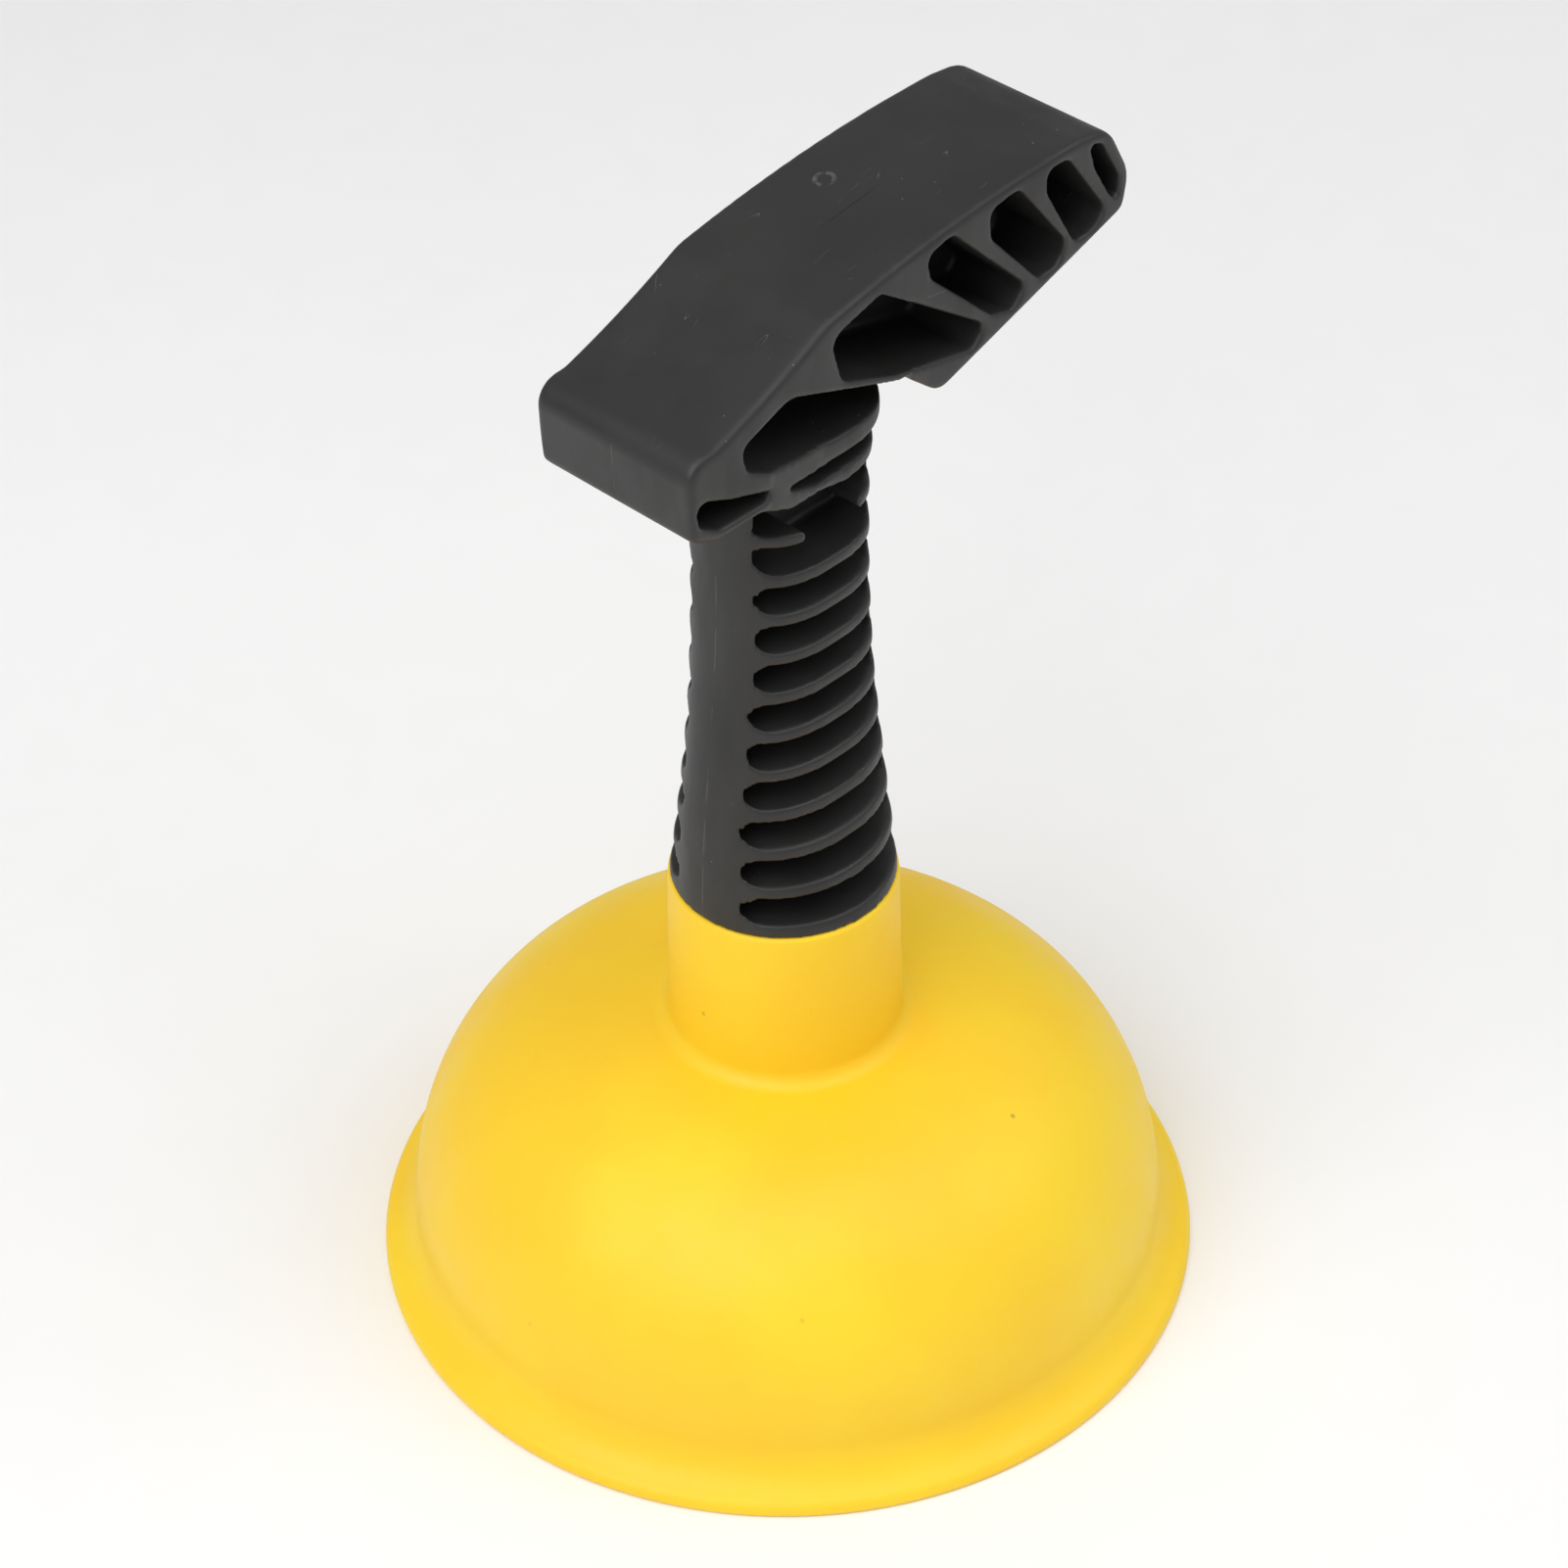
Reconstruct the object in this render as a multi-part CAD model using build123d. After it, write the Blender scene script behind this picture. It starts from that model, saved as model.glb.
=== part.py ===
from build123d import *
import math
import os

# Sink plunger: a rubber cup and a moulded plastic handle. Millimetres.
# Z is the plunger's axis and z = 0 is the face that the rim rests on.
# +X runs along the grip towards its long end. The grip's two open, ribbed faces look to -Y and +Y.

# ---- Cup: lip, dome and collar, one rubber moulding ----
RIM_R = 70.0             # outer radius of the lip
CUP_WALL = 3.0
LIP_FLARE_R = 8.2        # concave radius of the flare's upper side
LIP_FLARE_TURN = 65.0    # how far the flare turns out from the vertical, degrees
LIP_NOSE_R = 2.2
LIP_CORNER_R = 0.8
LIP_RISE = (LIP_FLARE_R + LIP_NOSE_R) * math.sin(math.radians(LIP_FLARE_TURN))
LIP_REACH = (LIP_FLARE_R + LIP_NOSE_R) * (1 - math.cos(math.radians(LIP_FLARE_TURN)))
LIP_HEIGHT = LIP_RISE + LIP_CORNER_R     # where the flared lip runs into the dome's wall
DOME_R = RIM_R - LIP_REACH               # outer radius of the dome's foot
SHOULDER_ARCS = [(42.0, 30.0), (34.0, 42.0), (55.0, 18.0)]   # dome's outer radii and turns
COLLAR_FILLET = 2.8      # between the dome's crown and the collar
COLLAR_TOP_R = 19.0
COLLAR_TOP_Z = 79.95
COLLAR_EDGE_R = 0.8

# ---- Socket in the collar and spigot on the handle ----
SOCKET_R = 13.0
SOCKET_FLOOR_Z = 54.0
SPIGOT_CLEARANCE = 0.1
SPIGOT_END_GAP = 0.4
SPIGOT_BORE_R = 9.5
BARB_DEPTH = 1.2         # how far each barb ring stands out of the spigot
BARB_LENGTH = 3.0
BARB_ZS = [58.0, 65.0, 72.0]

# ---- Stem ----
STEM_BASE_Z = 80.0
STEM_BASE_R = 18.7
STEM_HALF_X = 14.0       # half width of the slim upper stem, along the grip
STEM_HALF_Y = 12.0       # half thickness of the slim upper stem
STEM_SIDE_TAPER = 64.0   # height over which the flanks draw in
STEM_FACE_TAPER = 48.0   # height over which the slotted faces draw in
STEM_SQUARENESS = 0.5    # added to the section's exponent, 2 being an ellipse
NECK_START_Z = 156.0     # where the stem starts to widen into the grip
NECK_Z = 168.8           # where the stem's section stops changing
SHORT_ARM_Z = 168.3      # underside of the grip's short end
NECK_GROWTH = 1.4
NECK_X = (-19.5, 3.0)   # where the wedge between the stem and the grip's short end starts and stops
SECTION_STEP = 8.0

# ---- Ribs and slots of the stem ----
WEB = 2.2                # central wall that both sets of pockets stop at
SIDE_WALL = 1.8
RIB = 2.3
SLOT_CORNER_R = 2.2
SLOT_PITCH = 7.35
FIRST_SLOT_Z = 84.9
SLOT_COUNT = 9
STUB_GAP = 11.4          # gap in the middle of the broken rib

# ---- Grip ----
GRIP_END_HALF_Y = (16.2, 15.3)   # half thickness at the short and at the long end
GRIP_END_X = (-37.0, 63.0)
GRIP_EDGE_R = 1.0
ARCH_Z = 177.3           # underside of the full-width grip over the stem
ARCH_ROUND_X = (-29.0, 17.8)     # between these the grip's lower edges stay sharp

# Corners of the grip's pockets in X and Z, each with its corner radius.
GRIP_POCKETS = [
    [(-33.2, 177.2, 1.4), (-26.0, 174.1, 6.0), (-17.6, 171.4, 0.5), (-17.6, 169.9, 0.5), (-28.5, 170.0, 3.0),
     (-32.6, 172.4, 2.0)],
    [(-4.7, 191.4, 2.4), (5.9, 194.4, 1.8), (29.7, 177.7, 1.8), (27.0, 174.7, 1.6), (9.5, 178.5, 6.0),
     (-2.3, 182.9, 3.6)],
    [(16.2, 195.8, 1.6), (21.8, 197.2, 2.0), (38.8, 180.5, 1.8), (36.0, 177.5, 1.6), (31.0, 178.8, 2.2),
     (17.2, 191.6, 2.2)],
    [(30.0, 197.5, 1.8), (36.6, 198.4, 2.4), (47.9, 184.2, 2.2), (46.4, 180.8, 1.8), (41.8, 180.2, 2.2),
     (30.6, 192.4, 2.2)],
    [(42.8, 198.7, 1.6), (47.8, 198.7, 2.6), (57.0, 186.0, 1.8), (55.0, 183.6, 1.6), (50.0, 182.9, 2.0),
     (43.2, 194.6, 2.2)],
    [(52.7, 198.9, 0.6), (55.6, 198.0, 1.6), (60.1, 190.2, 2.0), (59.8, 185.9, 0.6), (57.6, 188.4, 3.0),
     (54.2, 194.2, 3.0)],
]
# Pockets that bridge the grip and the stem: the arch pocket, the wedge slot and the tall stem pocket.
NECK_POCKETS = [
    [(13.3, 171.0, 1.6), (-2.0, 171.3, 8.0), (-9.0, 172.4, 8.0), (-17.0, 174.3, 6.0), (-22.4, 177.0, 2.2),
     (-23.7, 181.6, 1.8), (-13.5, 185.6, 3.6), (9.5, 177.3, 6.0), (13.3, 176.0, 0.8)],
    [(12.8, 163.8, 1.0), (12.9, 167.4, 1.0), (-5.0, 167.4, 8.0), (-11.0, 168.5, 4.0), (-16.2, 170.1, 0.2),
     (-10.5, 167.0, 4.0), (-5.0, 164.8, 4.0), (1.7, 164.2, 8.0)],
    [(-12.2, 148.5, 2.4), (12.2, 148.5, 2.4), (12.4, 161.2, 1.6), (2.0, 161.4, 8.0), (-5.0, 162.6, 6.0),
     (-9.4, 163.4, 1.2), (-12.2, 161.2, 1.4)],
]


def turn(start, heading, radius, angle):
    """Arc in the X-Z sketch plane from start, turning left by angle degrees. Returns arc, end and heading."""
    ahead = (math.cos(math.radians(heading)), math.sin(math.radians(heading)))
    arc = JernArc(start, ahead, radius, angle)
    return arc, tuple(arc @ 1)[:2], heading + angle


def chain(start, heading, arcs):
    """Tangent arcs one after another."""
    edges = []
    for radius, angle in arcs:
        arc, start, heading = turn(start, heading, radius, angle)
        edges.append(arc)
    return edges, start, heading


def barb_rings(core_radius, grow):
    """Saw-tooth rings that point down the spigot's way in, as closed X-Z outlines."""
    rings = []
    for z in BARB_ZS:
        tip = core_radius + BARB_DEPTH
        rings.append(make_face(Polyline(
            (core_radius - 1.0, z - grow), (core_radius, z - grow), (tip, z + BARB_LENGTH - 0.6 - grow),
            (tip, z + BARB_LENGTH + grow), (core_radius - 1.0, z + BARB_LENGTH + grow), close=True)))
    return rings


def revolve_outline(face):
    return revolve(Plane.XZ * face, Axis.Z)


def rubber_cup():
    """Flared lip, dome and collar with a blind socket for the handle."""
    outer, crown, _ = chain((DOME_R, LIP_HEIGHT), 90.0, SHOULDER_ARCS)
    fillet_arc = JernArc(crown, (-1, 0), COLLAR_FILLET, -90.0)
    collar_foot = tuple(fillet_arc @ 1)[:2]
    inner_arcs = [(radius - CUP_WALL, angle) for radius, angle in SHOULDER_ARCS]
    inner, inner_crown, _ = chain((DOME_R - CUP_WALL, LIP_HEIGHT), 90.0, inner_arcs)
    flare = JernArc((DOME_R, LIP_HEIGHT), (0, -1), LIP_FLARE_R, LIP_FLARE_TURN)
    nose = JernArc(flare @ 1, flare % 1, LIP_NOSE_R, -LIP_FLARE_TURN)
    corner = JernArc(nose @ 1, (0, -1), LIP_CORNER_R, -90.0)
    under_r = LIP_FLARE_R + CUP_WALL
    under_turn = math.degrees(math.asin(LIP_HEIGHT / under_r))
    under = JernArc((DOME_R - CUP_WALL, LIP_HEIGHT), (0, -1), under_r, under_turn)
    rest = Line(corner @ 1, under @ 1)
    roof = Line(inner_crown, (0, inner_crown[1]))
    axis = Line((0, inner_crown[1]), (0, SOCKET_FLOOR_Z))
    floor = Line((0, SOCKET_FLOOR_Z), (SOCKET_R, SOCKET_FLOOR_Z))
    bore = Line((SOCKET_R, SOCKET_FLOOR_Z), (SOCKET_R, COLLAR_TOP_Z - COLLAR_EDGE_R))
    lead_in = Line(bore @ 1, (SOCKET_R + COLLAR_EDGE_R, COLLAR_TOP_Z))
    top = Line(lead_in @ 1, (COLLAR_TOP_R - COLLAR_EDGE_R, COLLAR_TOP_Z))
    edge = JernArc(top @ 1, (1, 0), COLLAR_EDGE_R, -90.0)
    side = Line(edge @ 1, collar_foot)
    parts = outer + [fillet_arc] + inner + [flare, nose, corner, under, rest, roof, axis, floor, bore,
                                            lead_in, top, edge, side]
    cup = revolve_outline(make_face(parts))
    for ring in barb_rings(SOCKET_R, SPIGOT_CLEARANCE):
        cup -= revolve_outline(ring)
    return cup


def stem_half_sizes(z):
    """Half width, half thickness and squareness of the stem's section at height z."""
    side = min(1.0, (z - STEM_BASE_Z) / STEM_SIDE_TAPER)
    face = min(1.0, (z - STEM_BASE_Z) / STEM_FACE_TAPER)
    half_x = STEM_BASE_R - (STEM_BASE_R - STEM_HALF_X) * side * side * (3 - 2 * side)
    half_y = STEM_HALF_Y + (STEM_BASE_R - STEM_HALF_Y) * (1 - face) ** 2
    widen = max(0.0, (z - NECK_START_Z) / (NECK_Z - NECK_START_Z)) ** 2 * NECK_GROWTH
    return half_x + widen, half_y + widen, 2 + STEM_SQUARENESS * face


def section_points(half_x, half_y, power, count=32):
    points = []
    for i in range(count):
        angle = 2 * math.pi * i / count
        c = math.cos(angle)
        s = math.sin(angle)
        x = half_x * math.copysign(abs(c) ** (2 / power), c)
        y = half_y * math.copysign(abs(s) ** (2 / power), s)
        points.append((x, y))
    return points


def stem_section(z):
    outline = Spline(*section_points(*stem_half_sizes(z)), periodic=True)
    return Pos(0, 0, z) * make_face(outline)


def stem_body():
    """Tapered stem, round at its foot and a rounded square higher up, run on straight into the grip."""
    count = round((NECK_Z - STEM_BASE_Z) / SECTION_STEP)
    heights = [STEM_BASE_Z + (NECK_Z - STEM_BASE_Z) * i / count for i in range(count + 1)]
    return loft([stem_section(z) for z in heights]) + extrude(stem_section(NECK_Z), ARCH_Z + 3.0 - NECK_Z)


def neck_body():
    """Wedge on the stem's side that widens and climbs to the grip's short end."""
    _, half_y, _ = stem_half_sizes(NECK_Z)
    face_y = GRIP_END_HALF_Y[0] - 0.35
    left, right = NECK_X
    lower = Spline((left, -face_y), (-13.0, -face_y + 0.95), (-6.0, -half_y - 0.2), (right, -half_y + 1.0))
    upper = mirror(lower, Plane.XZ)
    back = Line(upper @ 0, lower @ 0)
    inner = Line(lower @ 1, upper @ 1)
    plan = make_face([lower, upper, back, inner])
    top = ARCH_Z + 3.0
    side = make_face(Polyline((left, SHORT_ARM_Z), (-12.0, NECK_Z - 4.2), (right, NECK_Z - 6.8), (right, top),
                              (left, top), close=True))
    block = extrude(Pos(0, 0, NECK_Z - 10.0) * plan, top - NECK_Z + 10.0)
    return block & extrude(Plane.XZ * side, 25.0, both=True)


def rounded_outline(corners):
    """Closed outline from corners, each rounded to its own radius."""
    points = [(x, z) for x, z, _ in corners]
    face = make_face(Polyline(*points, close=True))
    for x, z, radius in corners:
        vertex = min(face.vertices(), key=lambda v: (v.X - x) ** 2 + (v.Y - z) ** 2)
        face = fillet(vertex, radius)
        face = face.faces()[0] if not isinstance(face, Face) else face
    return face


def grip_outline():
    """Side view of the grip, a T whose +X arm is the longer one."""
    saddle = ThreePointArc((-29.0, 184.4), (-17.3, 188.9), (-5.2, 194.8))
    back = ThreePointArc((-5.2, 194.8), (17.0, 198.7), (50.0, 200.8))
    rest = Polyline((50.0, 200.8), (57.4, 200.0), (62.8, 190.0), (61.5, 183.9), (19.3, 170.5), (11.0, ARCH_Z),
                    (-17.0, ARCH_Z), (-18.5, SHORT_ARM_Z), (-29.5, SHORT_ARM_Z), (-34.1, 170.2),
                    (-34.9, 184.1), (-29.0, 184.4))
    face = make_face([saddle, back, rest])
    for x, z, radius in [(-29.0, 184.4, 7.0), (-5.2, 194.8, 10.0), (57.4, 200.0, 6.5), (62.8, 190.0, 6.5),
                         (61.5, 183.9, 2.0), (19.3, 170.5, 3.0), (-29.5, SHORT_ARM_Z, 4.0), (-34.1, 170.2, 1.6),
                         (-34.9, 184.1, 4.2)]:
        vertex = min(face.vertices(), key=lambda v: (v.X - x) ** 2 + (v.Y - z) ** 2)
        face = fillet(vertex, radius).faces()[0]
    return face


def is_rounded_edge(edge):
    """True for the long edges of the grip's two open faces, apart from the arch over the stem."""
    middle = edge @ 0.5
    along_y = abs((edge @ 1).Y - (edge @ 0).Y) > 2.0
    in_arch = ARCH_ROUND_X[0] < middle.X < ARCH_ROUND_X[1] and middle.Z < ARCH_Z + 0.1
    return not along_y and not in_arch


def grip_body():
    """Grip block: the side view, thinner towards its long end, with rounded edges."""
    side = extrude(Plane.XZ * grip_outline(), 25.0, both=True)
    (x0, x1), (y0, y1) = GRIP_END_X, GRIP_END_HALF_Y
    plan = make_face(Polyline((x0, -y0), (x1, -y1), (x1, y1), (x0, y0), close=True))
    body = side & extrude(Pos(0, 0, 160.0) * plan, 50.0)
    return fillet([e for e in body.edges() if is_rounded_edge(e)], GRIP_EDGE_R)


def pocket_pair(face):
    """A pocket's outline cut in from both open sides, down to the central web."""
    front = extrude(Pos(0, -WEB / 2, 0) * (Plane.XZ * face), 25.0)
    return [front, mirror(front, Plane.XZ)]


def slot_outlines():
    """Slots of the stem with rounded corners, each as wide as the flanks leave room for."""
    outlines = []
    for i in range(SLOT_COUNT):
        z = FIRST_SLOT_Z + i * SLOT_PITCH
        half_x, _, _ = stem_half_sizes(z)
        slot = RectangleRounded(2 * (half_x - SIDE_WALL), SLOT_PITCH - RIB, SLOT_CORNER_R)
        outlines.append(Pos(0, z) * slot)
    return outlines


def broken_rib():
    """Two stubs that reach in from the flanks of the tall pocket, as outlines with round tips."""
    z = FIRST_SLOT_Z + (SLOT_COUNT + 0.5) * SLOT_PITCH
    reach = 8.0
    right = Pos(STUB_GAP / 2 + reach / 2, z) * SlotOverall(reach, RIB)
    return [right, mirror(right, Plane.YZ)]


def spigot_body():
    """Hollow barbed spigot under the stem that plugs into the collar."""
    radius = SOCKET_R - SPIGOT_CLEARANCE
    end_z = SOCKET_FLOOR_Z + SPIGOT_END_GAP
    outline = make_face(Polyline((SPIGOT_BORE_R, end_z), (radius - 1.0, end_z), (radius, end_z + 1.0),
                                 (radius, STEM_BASE_Z + 0.5), (SPIGOT_BORE_R, STEM_BASE_Z + 0.5), close=True))
    body = revolve_outline(outline)
    for ring in barb_rings(radius, 0.0):
        body += revolve_outline(ring)
    return body


def handle():
    """Grip, neck, ribbed stem and spigot, one plastic moulding cored from both sides."""
    body = stem_body() + neck_body() + grip_body()
    outlines = [rounded_outline(corners) for corners in GRIP_POCKETS + NECK_POCKETS[:2]]
    tall = rounded_outline(NECK_POCKETS[2])
    for stub in broken_rib():
        tall -= stub
    cutters = []
    for outline in outlines + [tall] + slot_outlines():
        cutters += pocket_pair(outline)
    for cutter in cutters:
        body -= cutter
    return body + spigot_body()


if __name__ == "__main__":
    os.makedirs("parts", exist_ok=True)
    for name, build in (("rubber_cup", rubber_cup), ("handle", handle)):
        solid = build()
        print(name, len(solid.solids()), "solid", round(solid.volume), "mm3", solid.is_valid)
        export_step(solid, f"parts/{name}.step")
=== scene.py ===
import math

import bpy
import numpy as np
from mathutils import Matrix, Vector


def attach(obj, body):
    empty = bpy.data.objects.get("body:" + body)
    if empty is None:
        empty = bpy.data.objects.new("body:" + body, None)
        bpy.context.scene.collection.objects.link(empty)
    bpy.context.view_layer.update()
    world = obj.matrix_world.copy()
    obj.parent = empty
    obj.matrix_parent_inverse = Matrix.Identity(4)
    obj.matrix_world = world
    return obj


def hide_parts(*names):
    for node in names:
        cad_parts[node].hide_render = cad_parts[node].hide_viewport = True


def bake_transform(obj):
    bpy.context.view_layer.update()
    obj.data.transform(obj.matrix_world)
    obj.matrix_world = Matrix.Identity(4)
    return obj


# Sink plunger: a yellow rubber cup and a black moulded T-handle.
# Lengths are in millimetres until a mesh is made, apart from the lights', which are in metres.
MM = 0.001

# ---- Cup, on the same driving sizes as the CAD part ----
RIM_R = 70.0
CUP_WALL = 3.0
LIP_FLARE_R = 8.2
LIP_FLARE_TURN = 65.0
LIP_NOSE_R = 2.2
LIP_CORNER_R = 0.8
LIP_RISE = (LIP_FLARE_R + LIP_NOSE_R) * math.sin(math.radians(LIP_FLARE_TURN))
LIP_REACH = (LIP_FLARE_R + LIP_NOSE_R) * (1 - math.cos(math.radians(LIP_FLARE_TURN)))
LIP_HEIGHT = LIP_RISE + LIP_CORNER_R
DOME_R = RIM_R - LIP_REACH
SHOULDER_ARCS = [(42.0, 30.0), (34.0, 42.0), (55.0, 18.0)]
COLLAR_FILLET = 2.8
COLLAR_TOP_R = 19.0
COLLAR_TOP_Z = 79.95
COLLAR_EDGE_R = 0.8
SOCKET_R = 13.1
SOCKET_FLOOR_Z = 54.0
CUP_SEGMENTS = 288
CUP_STEP = 1.1           # longest step along the cup's profile

# ---- Handle ----
VOXEL = 0.45             # size of the cells that the handle's edges are rounded on
SMOOTHING_ROUNDS = 4
HANDLE_FACES = 185000

# ---- Marks on the handle ----
SEAM_HALF = 0.22         # half width of the mould's parting line
CREASE_X = 15.5          # middle of the crease on top of the grip
CREASE_HALF = 7.5
GRIP_TOP_Z = 194.0
SADDLE_Z = 181.0
RING_AT = (18.3, 7.6)    # where a ring-shaped scuff lies on top of the grip
RING_R = 1.5

# ---- Camera ----
CAMERA_AZIMUTH = -45.55
CAMERA_ELEVATION = 39.0
CAMERA_DISTANCE = 725.7
CAMERA_ROLL = -0.68
CAMERA_AIM_Z = 96.97
CAMERA_AIM_RIGHT = 0.23
CAMERA_LENS = 103.4
SENSOR = 36.0

# ---- Studio ----
FLOOR_HALF = 6000.0
WORLD_STRENGTH = 0.43
LIGHT_AIM_Z = 0.09       # metres, like the other sizes of the lights
# Each soft light's name, azimuth, elevation, distance, width and height, and power in watts.
SOFTBOXES = [
    ("key", -85.0, 45.0, 1.3, (1.3, 1.1), 10.0),
    ("fill", 35.0, 50.0, 1.5, (1.4, 1.0), 6.5),
    ("top", -45.0, 80.0, 1.4, (1.0, 1.0), 4.0),
]


# ---------------------------------------------------------------- meshes

def new_object(name, verts_mm, faces, smooth=True):
    mesh = bpy.data.meshes.new(name)
    mesh.from_pydata([tuple(c * MM for c in v) for v in verts_mm], [], faces)
    mesh.update()
    if smooth:
        mesh.polygons.foreach_set("use_smooth", [True] * len(mesh.polygons))
    obj = bpy.data.objects.new(name, mesh)
    bpy.context.scene.collection.objects.link(obj)
    return obj


class Profile:
    """An outline in radius and height, made of lines and tangent arcs."""

    def __init__(self, r, z, heading):
        self.points = [(r, z)]
        self.heading = math.radians(heading)

    def line(self, r, z):
        r0, z0 = self.points[-1]
        length = math.hypot(r - r0, z - z0)
        count = max(1, math.ceil(length / CUP_STEP))
        for i in range(1, count + 1):
            self.points.append((r0 + (r - r0) * i / count, z0 + (z - z0) * i / count))
        if length:
            self.heading = math.atan2(z - z0, r - r0)
        return self

    def arc(self, radius, turn, finest=7.0):
        """Turns left by turn degrees, or right where it is negative."""
        r0, z0 = self.points[-1]
        side = math.copysign(1.0, turn)
        centre_r = r0 - side * radius * math.sin(self.heading)
        centre_z = z0 + side * radius * math.cos(self.heading)
        count = max(2, math.ceil(abs(turn) / finest), math.ceil(radius * math.radians(abs(turn)) / CUP_STEP))
        for i in range(1, count + 1):
            h = self.heading + math.radians(turn) * i / count
            across = side * radius * math.sin(h)
            down = side * radius * math.cos(h)
            self.points.append((centre_r + across, centre_z - down))
        self.heading += math.radians(turn)
        return self


def cup_profile():
    """Meridian of the cup, from the socket's floor over the outside and back up the inside to the axis."""
    dome = Profile(DOME_R, LIP_HEIGHT, 90.0)
    for radius, angle in SHOULDER_ARCS:
        dome.arc(radius, angle)
    dome.arc(COLLAR_FILLET, -90.0)
    collar_r, collar_z = dome.points[-1]
    lip = Profile(DOME_R, LIP_HEIGHT, -90.0)
    lip.arc(LIP_FLARE_R, LIP_FLARE_TURN).arc(LIP_NOSE_R, -LIP_FLARE_TURN).arc(LIP_CORNER_R, -90.0)
    inside = Profile(DOME_R - CUP_WALL, LIP_HEIGHT, 90.0)
    for radius, angle in SHOULDER_ARCS:
        inside.arc(radius - CUP_WALL, angle)
    roof_z = inside.points[-1][1]
    inside.line(0.0, roof_z)
    under = Profile(DOME_R - CUP_WALL, LIP_HEIGHT, -90.0)
    under_r = LIP_FLARE_R + CUP_WALL
    under.arc(under_r, math.degrees(math.asin(LIP_HEIGHT / under_r)))
    rest = Profile(*lip.points[-1], 180.0).line(*under.points[-1])
    socket = Profile(0.0, SOCKET_FLOOR_Z, 0.0).line(SOCKET_R, SOCKET_FLOOR_Z)
    socket.line(SOCKET_R, COLLAR_TOP_Z - COLLAR_EDGE_R)
    socket.line(SOCKET_R + COLLAR_EDGE_R, COLLAR_TOP_Z).line(COLLAR_TOP_R - COLLAR_EDGE_R, COLLAR_TOP_Z)
    socket.arc(COLLAR_EDGE_R, -90.0).line(collar_r, collar_z)
    outline = []
    pieces = (socket.points, dome.points[::-1], lip.points, rest.points, under.points[::-1], inside.points)
    for piece in pieces:
        outline += piece if not outline else piece[1:]
    return outline


def lathe(name, outline, segments):
    """Turns an outline that starts and ends on the axis into a closed mesh."""
    ring_points = outline[1:-1]
    verts = [(0.0, 0.0, outline[0][1]), (0.0, 0.0, outline[-1][1])]
    for r, z in ring_points:
        for i in range(segments):
            a = 2 * math.pi * i / segments
            verts.append((r * math.cos(a), r * math.sin(a), z))
    faces = []
    last = 2 + (len(ring_points) - 1) * segments
    for i in range(segments):
        j = (i + 1) % segments
        faces.append((0, 2 + i, 2 + j))
        for k in range(len(ring_points) - 1):
            base = 2 + k * segments
            faces.append((base + i, base + segments + i, base + segments + j, base + j))
        faces.append((1, last + j, last + i))
    return new_object(name, verts, faces)


def evaluated_copy(obj, name):
    """A new mesh object with obj's modifiers applied."""
    depsgraph = bpy.context.evaluated_depsgraph_get()
    mesh = bpy.data.meshes.new_from_object(obj.evaluated_get(depsgraph))
    mesh.name = name
    made = bpy.data.objects.new(name, mesh)
    bpy.context.scene.collection.objects.link(made)
    return made


def coordinates(mesh):
    co = np.empty(len(mesh.vertices) * 3, np.float32)
    mesh.vertices.foreach_get("co", co)
    return co.reshape(-1, 3).astype(float)


def smoothed(co, edges, rounds):
    """Each round moves every vertex halfway to its neighbours' middle."""
    count = len(co)
    ends = np.concatenate([edges[:, 0], edges[:, 1]])
    others = np.concatenate([edges[:, 1], edges[:, 0]])
    degree = np.bincount(ends, minlength=count)[:, None]
    for _ in range(rounds):
        total = np.stack([np.bincount(ends, weights=co[others, k], minlength=count) for k in range(3)], 1)
        co = 0.5 * co + 0.5 * total / degree
    return co


def rounded_handle(node):
    """The handle's CAD mesh with its sharp edges rounded as a moulding's are."""
    source = bpy.data.objects.new("handle_source", node.data.copy())
    bpy.context.scene.collection.objects.link(source)
    remesh = source.modifiers.new("cells", "REMESH")
    remesh.mode = "VOXEL"
    remesh.voxel_size = VOXEL * MM
    bpy.context.view_layer.update()
    fine = evaluated_copy(source, "handle_fine")
    mesh = fine.data
    edges = np.empty(len(mesh.edges) * 2, np.int32)
    mesh.edges.foreach_get("vertices", edges)
    co = smoothed(coordinates(mesh), edges.reshape(-1, 2), SMOOTHING_ROUNDS)
    mesh.vertices.foreach_set("co", co.astype(np.float32).ravel())
    mesh.update()
    decimate = fine.modifiers.new("fewer", "DECIMATE")
    decimate.ratio = min(1.0, HANDLE_FACES / (2 * len(mesh.polygons)))
    bpy.context.view_layer.update()
    handle = evaluated_copy(fine, "handle_moulding")
    handle.data.polygons.foreach_set("use_smooth", [True] * len(handle.data.polygons))
    for spare in (source, fine):
        bpy.data.objects.remove(spare)
    return handle


# ---------------------------------------------------------------- materials

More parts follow.
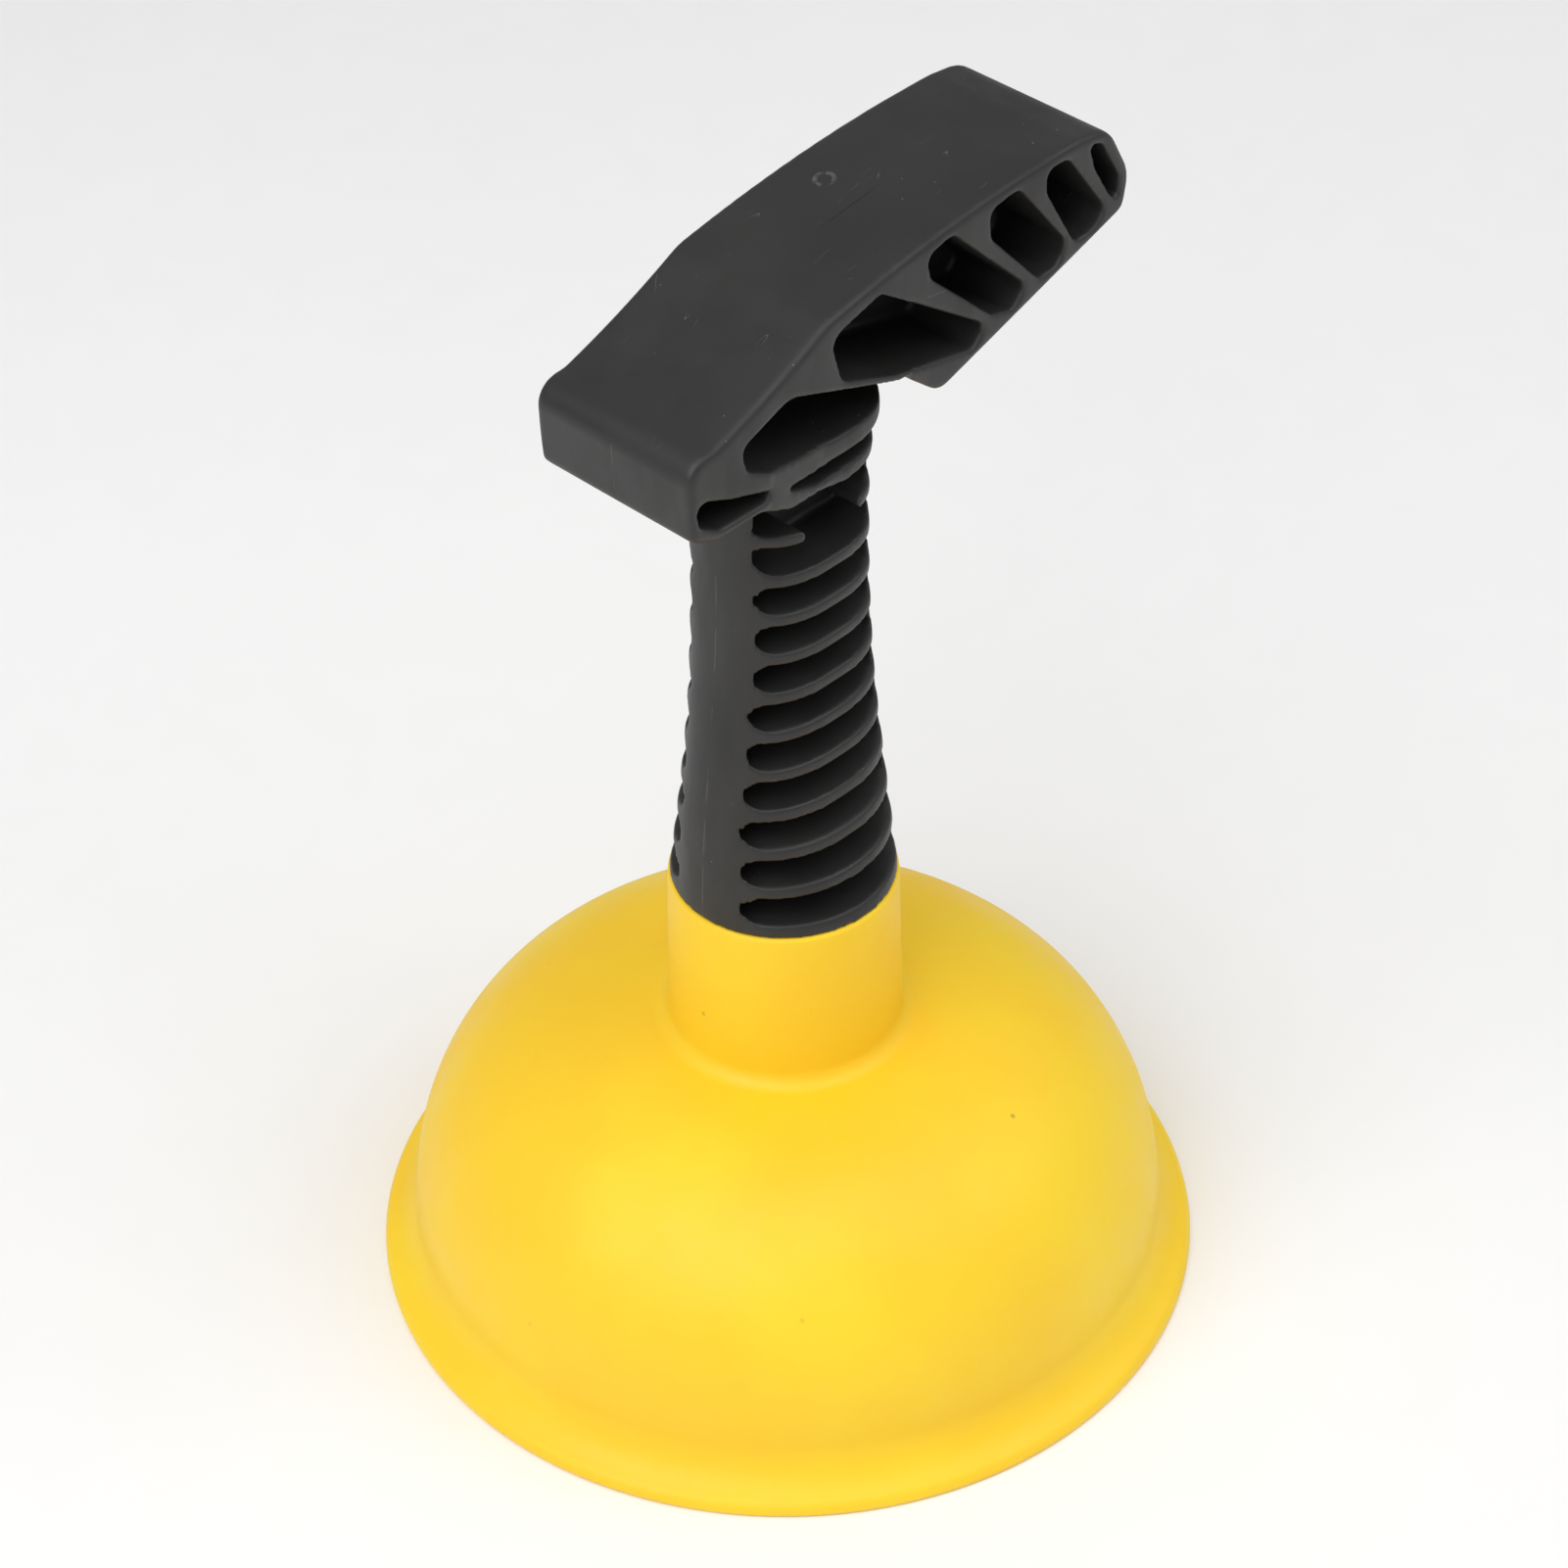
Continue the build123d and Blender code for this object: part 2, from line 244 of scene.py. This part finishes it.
class Nodes:
    """Short calls that add nodes to a material."""

    def __init__(self, name):
        self.material = bpy.data.materials.new(name)
        self.material.use_nodes = True
        self.tree = self.material.node_tree
        self.tree.nodes.clear()
        self.output = self.tree.nodes.new("ShaderNodeOutputMaterial")
        self.shader = self.tree.nodes.new("ShaderNodeBsdfPrincipled")
        self.tree.links.new(self.shader.outputs[0], self.output.inputs[0])
        self.place = self.tree.nodes.new("ShaderNodeTexCoord").outputs["Object"]

    def node(self, kind, inputs=(), **settings):
        node = self.tree.nodes.new(kind)
        for key, value in settings.items():
            setattr(node, key, value)
        for key, value in dict(inputs).items():
            self.feed(node.inputs[key], value)
        return node

    def feed(self, socket, value):
        if isinstance(value, bpy.types.NodeSocket):
            self.tree.links.new(value, socket)
        else:
            socket.default_value = value

    def math(self, operation, a, b=0.0, clamp=False):
        node = self.node("ShaderNodeMath", {0: a, 1: b}, operation=operation)
        node.use_clamp = clamp
        return node.outputs[0]

    def noise(self, scale, detail=3.0, roughness=0.5, place=None, stretch=None):
        vector = place or self.place
        if stretch:
            vector = self.node("ShaderNodeMapping", {"Vector": vector, "Scale": stretch}).outputs[0]
        inputs = {"Vector": vector, "Scale": scale, "Detail": detail, "Roughness": roughness}
        return self.node("ShaderNodeTexNoise", inputs).outputs["Fac"]

    def specks(self, scale, radius):
        """1 inside small scattered dots and 0 elsewhere."""
        inputs = {"Vector": self.place, "Scale": scale, "Randomness": 1.0}
        distance = self.node("ShaderNodeTexVoronoi", inputs).outputs["Distance"]
        return self.ramp(distance, radius * 0.6, radius, 1.0, 0.0)

    def ramp(self, value, low, high, at_low=0.0, at_high=1.0):
        inputs = {"Value": value, "From Min": low, "From Max": high, "To Min": at_low, "To Max": at_high}
        return self.node("ShaderNodeMapRange", inputs, interpolation_type="SMOOTHSTEP").outputs[0]

    def mix(self, factor, a, b):
        node = self.node("ShaderNodeMix", {"Factor": factor}, data_type="RGBA")
        colours = [s for s in node.inputs if s.type == "RGBA"]
        self.feed(colours[0], a)
        self.feed(colours[1], b)
        return [s for s in node.outputs if s.type == "RGBA"][0]

    def bump(self, height, strength, distance, normal=None):
        inputs = {"Height": height, "Strength": strength, "Distance": distance}
        if normal:
            inputs["Normal"] = normal
        return self.node("ShaderNodeBump", inputs).outputs[0]


def rubber_material():
    """Bright yellow satin rubber with faint mottling and a dusting of marks."""
    n = Nodes("cup_rubber_satin")
    broad = n.noise(22.0, 3.0)
    fine = n.noise(900.0, 4.0, 0.6)
    colour = n.mix(n.ramp(broad, 0.35, 0.65), (0.96, 0.60, 0.018, 1), (0.96, 0.66, 0.022, 1))
    grubby = n.ramp(n.noise(60.0, 5.0, 0.6), 0.62, 0.8, 0.0, 0.25)
    colour = n.mix(grubby, colour, (0.88, 0.47, 0.012, 1))
    specks = n.math("MULTIPLY", n.specks(85.0, 0.045), n.ramp(n.noise(30.0, 2.0), 0.52, 0.6))
    colour = n.mix(n.math("MULTIPLY", specks, 0.6), colour, (0.35, 0.2, 0.03, 1))
    n.feed(n.shader.inputs["Base Color"], colour)
    n.feed(n.shader.inputs["Roughness"], n.ramp(n.noise(140.0, 4.0), 0.3, 0.7, 0.42, 0.54))
    n.shader.inputs["Specular IOR Level"].default_value = 0.4
    n.shader.inputs["Subsurface Weight"].default_value = 0.12
    n.shader.inputs["Subsurface Radius"].default_value = (0.004, 0.002, 0.0005)
    n.shader.inputs["Subsurface Scale"].default_value = 1.0
    ripple = n.bump(broad, 0.25, 0.0006)
    n.feed(n.shader.inputs["Normal"], n.bump(fine, 0.12, 0.0001, ripple))
    return n.material


def near_plane(n, coordinate, centre, half_width):
    """1 where a coordinate is near a value, and 0 further off than half_width."""
    away = n.math("ABSOLUTE", n.math("SUBTRACT", coordinate, centre * MM))
    return n.ramp(away, half_width * 0.4 * MM, half_width * MM, 1.0, 0.0)


def parting_line(n, x, y, z):
    """Masks of the mould's faint, broken parting line and of a crease on top of the grip; the crease mask
    dents the surface and also sets where painted shade darkens the crease.
    """
    line = n.math("MULTIPLY", near_plane(n, y, 0.0, SEAM_HALF), n.ramp(n.noise(110.0, 2.0), 0.46, 0.54))
    flash = n.math("MULTIPLY", line, n.math("LESS_THAN", x, 0.0))
    flash = n.math("MULTIPLY", flash, n.math("SUBTRACT", 1.0, n.math("GREATER_THAN", z, SADDLE_Z * MM)))
    crease_dent_and_shade = n.math("MULTIPLY", near_plane(n, y, 0.0, SEAM_HALF), near_plane(n, x, CREASE_X, CREASE_HALF))
    return flash, n.math("MULTIPLY", crease_dent_and_shade, n.math("GREATER_THAN", z, GRIP_TOP_Z * MM))


def scuffs(n, x, y, z):
    """Pale marks on top of the grip: one ring, and short hair scratches in patches."""
    across = n.math("SUBTRACT", x, RING_AT[0] * MM)
    along = n.math("SUBTRACT", y, RING_AT[1] * MM)
    squares = n.math("ADD", n.math("MULTIPLY", across, across), n.math("MULTIPLY", along, along))
    ring = near_plane(n, n.math("SQRT", squares), RING_R, 0.5)
    ring = n.math("MULTIPLY", ring, n.ramp(n.noise(500.0, 3.0), 0.45, 0.6, 0.0, 0.7))
    hair = n.math("ABSOLUTE", n.math("SUBTRACT", n.noise(70.0, 2.0, stretch=(0.5, 2.4, 1.0)), 0.5))
    patches = n.ramp(n.noise(130.0, 2.0), 0.60, 0.66)
    hair = n.math("MULTIPLY", n.ramp(hair, 0.0005, 0.0025, 1.0, 0.0), patches)
    return n.math("MULTIPLY", n.math("MAXIMUM", ring, hair), n.math("GREATER_THAN", z, SADDLE_Z * MM))


def plastic_material():
    """Near-black satin moulded plastic: fine grain, a painted highlight on convex edges, lint, scuffs, a
    parting line and painted shade in the crease on top of the grip.
    """
    n = Nodes("handle_plastic_satin")
    axes = n.node("ShaderNodeSeparateXYZ", {"Vector": n.place}).outputs
    x, y, z = axes[0], axes[1], axes[2]
    cloudy = n.noise(35.0, 4.0)
    grain = n.noise(1500.0, 3.0, 0.6)
    colour = n.mix(n.ramp(cloudy, 0.3, 0.7), (0.0145, 0.014, 0.0138, 1), (0.021, 0.0205, 0.020, 1))
    edge = n.node("ShaderNodeNewGeometry").outputs["Pointiness"]
    # painted highlight: paler colour on convex edges (high pointiness), in noise-broken patches, stands in
    # for the light the rounded edges catch
    edge_highlight_paint = n.math("MULTIPLY", n.ramp(edge, 0.53, 0.6), n.ramp(n.noise(260.0, 5.0, 0.65), 0.35, 0.75))
    colour = n.mix(n.math("MULTIPLY", edge_highlight_paint, 0.5), colour, (0.10, 0.097, 0.092, 1))
    nicks = n.math("MULTIPLY", n.ramp(edge, 0.53, 0.58), n.specks(240.0, 0.16))
    nicks = n.math("MULTIPLY", nicks, n.ramp(n.noise(85.0, 2.0), 0.56, 0.62))
    colour = n.mix(n.math("MULTIPLY", nicks, 0.7), colour, (0.38, 0.37, 0.35, 1))
    lint = n.math("MULTIPLY", n.specks(330.0, 0.07), n.ramp(n.noise(70.0, 2.0), 0.5, 0.6))
    marks = n.math("MAXIMUM", lint, scuffs(n, x, y, z))
    colour = n.mix(n.math("MULTIPLY", marks, 0.4), colour, (0.22, 0.21, 0.2, 1))
    flash, crease_dent_and_shade = parting_line(n, x, y, z)
    colour = n.mix(n.math("MULTIPLY", flash, 0.5), colour, (0.08, 0.078, 0.075, 1))
    # painted shade: near-black colour laid in the crease on top of the grip, darker than the plastic itself
    colour = n.mix(n.math("MULTIPLY", crease_dent_and_shade, 0.9), colour, (0.002, 0.002, 0.002, 1))
    n.feed(n.shader.inputs["Base Color"], colour)
    smears = n.noise(120.0, 4.0, 0.6, stretch=(1.0, 1.0, 0.35))
    n.feed(n.shader.inputs["Roughness"], n.ramp(smears, 0.3, 0.7, 0.40, 0.55))
    n.shader.inputs["Specular IOR Level"].default_value = 0.45
    waves = n.bump(cloudy, 0.2, 0.0005)
    lines = n.bump(n.math("SUBTRACT", flash, crease_dent_and_shade), 0.6, 0.00012, waves)
    n.feed(n.shader.inputs["Normal"], n.bump(grain, 0.15, 0.00008, lines))
    return n.material


def floor_material():
    n = Nodes("studio_floor")
    colour = n.mix(n.noise(3.0, 3.0), (0.90, 0.90, 0.90, 1), (0.94, 0.94, 0.94, 1))
    n.feed(n.shader.inputs["Base Color"], colour)
    n.feed(n.shader.inputs["Roughness"], n.ramp(n.noise(90.0, 4.0), 0.3, 0.7, 0.55, 0.7))
    return n.material


# ---------------------------------------------------------------- studio

def direction(azimuth, elevation):
    """Unit vector from the object towards a place round it. Azimuth 0 is towards -Y."""
    a, e = math.radians(azimuth), math.radians(elevation)
    return Vector((math.sin(a) * math.cos(e), -math.cos(a) * math.cos(e), math.sin(e)))


def make_camera():
    back = direction(CAMERA_AZIMUTH, CAMERA_ELEVATION)
    a = math.radians(CAMERA_AZIMUTH)
    right = Vector((math.cos(a), math.sin(a), 0.0))
    aim = Vector((0.0, 0.0, CAMERA_AIM_Z)) + right * CAMERA_AIM_RIGHT
    data = bpy.data.cameras.new("camera")
    data.lens = CAMERA_LENS
    data.sensor_width = SENSOR
    data.clip_start = 0.02
    data.clip_end = 50.0
    camera = bpy.data.objects.new("camera", data)
    bpy.context.scene.collection.objects.link(camera)
    camera.location = (aim + back * CAMERA_DISTANCE) * MM
    camera.rotation_mode = "QUATERNION"
    level = (-back).to_track_quat("-Z", "Y").to_matrix()
    roll = Matrix.Rotation(math.radians(CAMERA_ROLL), 3, "Z")
    camera.rotation_quaternion = (level @ roll).to_quaternion()
    bpy.context.scene.camera = camera


def softbox(name, azimuth, elevation, distance, size, power):
    data = bpy.data.lights.new(name, "AREA")
    data.shape = "RECTANGLE"
    data.size, data.size_y = size
    data.energy = power
    light = bpy.data.objects.new(name, data)
    bpy.context.scene.collection.objects.link(light)
    towards = direction(azimuth, elevation)
    light.location = Vector((0.0, 0.0, LIGHT_AIM_Z)) + towards * distance
    light.rotation_mode = "QUATERNION"
    light.rotation_quaternion = (-towards).to_track_quat("-Z", "Y")


def make_studio():
    world = bpy.data.worlds.new("studio")
    world.use_nodes = True
    background = world.node_tree.nodes["Background"]
    background.inputs["Color"].default_value = (1.0, 1.0, 1.0, 1)
    background.inputs["Strength"].default_value = WORLD_STRENGTH
    bpy.context.scene.world = world
    corners = [(x * FLOOR_HALF, y * FLOOR_HALF, 0.0) for x, y in ((-1, -1), (1, -1), (1, 1), (-1, 1))]
    floor = new_object("studio_floor", corners, [(0, 1, 2, 3)], smooth=False)
    floor.data.materials.append(floor_material())
    for light in SOFTBOXES:
        softbox(*light)
    bpy.context.scene.view_settings.view_transform = "Standard"


# ---------------------------------------------------------------- build

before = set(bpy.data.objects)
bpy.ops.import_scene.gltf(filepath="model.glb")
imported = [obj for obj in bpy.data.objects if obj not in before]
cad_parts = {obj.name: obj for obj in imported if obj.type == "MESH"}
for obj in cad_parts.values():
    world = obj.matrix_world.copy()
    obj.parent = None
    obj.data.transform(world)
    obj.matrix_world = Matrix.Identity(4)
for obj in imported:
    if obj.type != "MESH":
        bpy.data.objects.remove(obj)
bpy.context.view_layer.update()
make_camera()
make_studio()

cup = lathe("rubber_cup_skin", cup_profile(), CUP_SEGMENTS)
cup.data.materials.append(rubber_material())
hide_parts("rubber_cup")
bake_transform(cup)

handle = rounded_handle(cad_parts["handle"])
handle.data.materials.clear()
handle.data.materials.append(plastic_material())
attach(handle, "handle")
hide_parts("handle")
